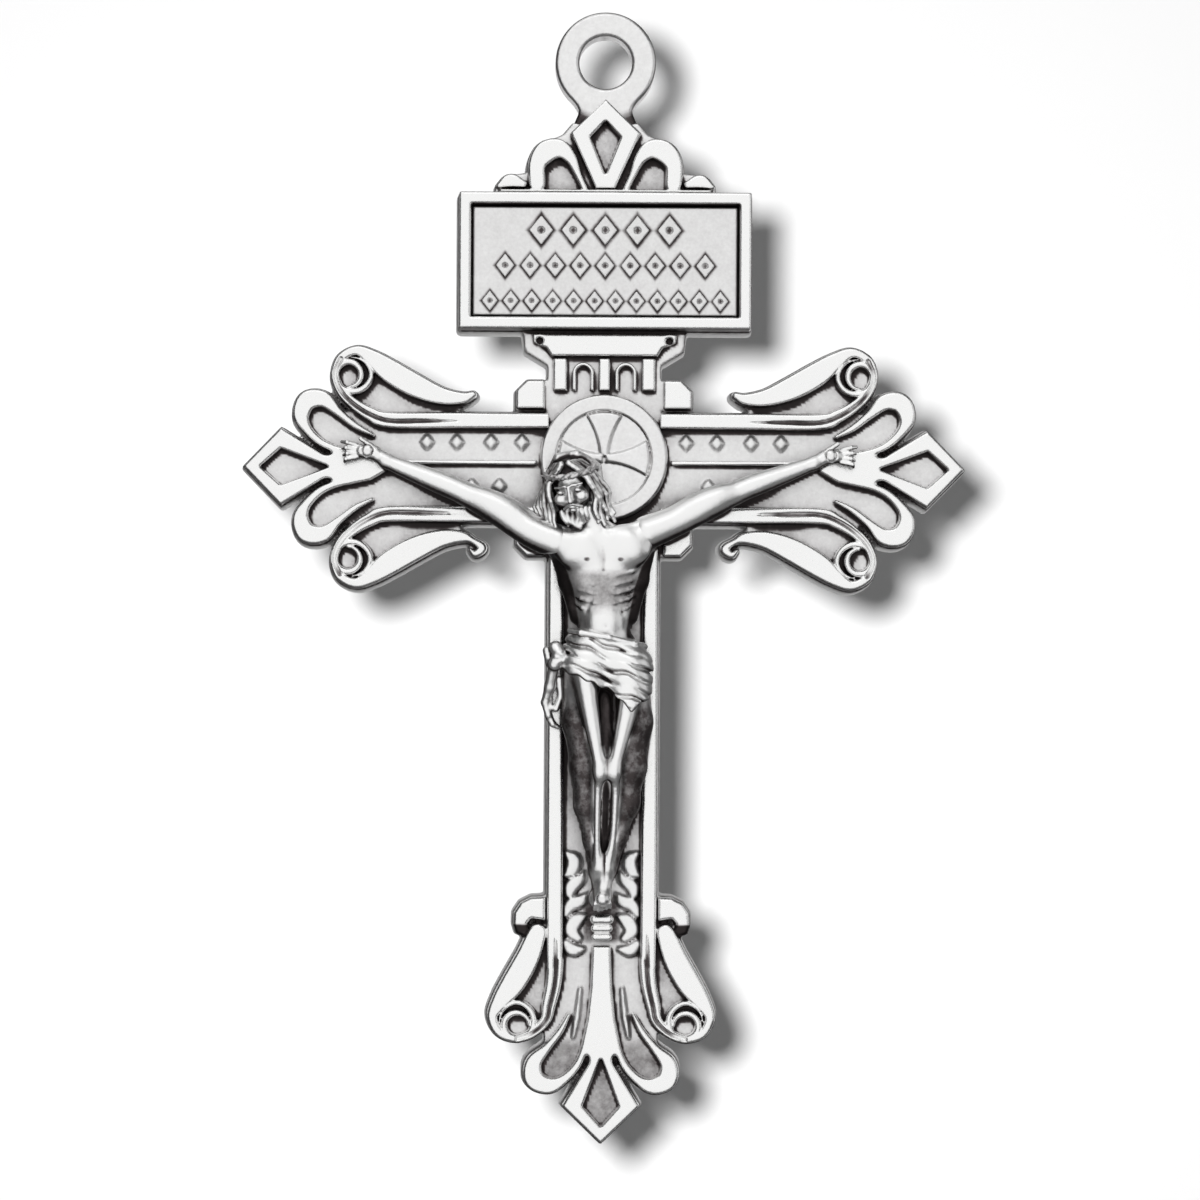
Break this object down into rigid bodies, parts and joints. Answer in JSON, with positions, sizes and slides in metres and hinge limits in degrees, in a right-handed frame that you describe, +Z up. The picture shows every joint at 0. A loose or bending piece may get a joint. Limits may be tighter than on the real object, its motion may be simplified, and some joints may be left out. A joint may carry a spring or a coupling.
{
  "type": "pendant crucifix",
  "caption": "Pendant cross of oxidised silver with scrolled ends, title board, nimbus and a pinned corpus, hung by a fixed eyelet at its top.",
  "frame": {"origin": "centre of the eyelet's hole, from which the pendant hangs", "axes": "+Z up along the shaft, +X to the viewer's right, the front faces -Y and the flat back faces +Y"},
  "size_m": [0.0348, 0.0049, 0.0536],
  "materials": {
    "plate_silver": "cast silver plate with a matte stippled ground, darkened by oxidising in every recess",
    "ornament_silver": "cast silver plate, high surfaces buffed bright, edges and grooves left dark",
    "figure_silver": "cast silver plate, burnished on the high parts of the figure, dark in the folds and at the sides",
    "nail_silver": "drawn wire with a domed head, buffed"
  },
  "bodies": {
    "root": {"cross_plate": "plate_silver", "title_board": "plate_silver", "right_terminal": "ornament_silver", "right_upper_scroll": "ornament_silver", "right_lower_scroll": "ornament_silver", "left_terminal": "ornament_silver", "left_lower_scroll": "ornament_silver", "left_upper_scroll": "ornament_silver", "foot_terminal": "ornament_silver", "foot_right_scroll": "ornament_silver", "foot_left_scroll": "ornament_silver", "hanging_eyelet": "ornament_silver", "crest_ornament": "ornament_silver", "title_frame": "ornament_silver", "title_corbel": "ornament_silver", "upper_panel": "ornament_silver", "nimbus": "ornament_silver", "right_arm_moulding": "ornament_silver", "upper_right_block": "ornament_silver", "lower_right_block": "ornament_silver", "foot_right_cap": "ornament_silver", "left_arm_moulding": "ornament_silver", "upper_left_block": "ornament_silver", "lower_left_block": "ornament_silver", "foot_left_cap": "ornament_silver", "footrest": "ornament_silver", "corpus_body": "figure_silver", "loincloth": "figure_silver", "corpus_head": "figure_silver", "crown_of_thorns": "figure_silver", "corpus_left_arm": "figure_silver", "corpus_right_arm": "figure_silver", "left_hand_nail": "nail_silver", "right_hand_nail": "nail_silver", "foot_nail": "nail_silver"}
  },
  "joints": []
}
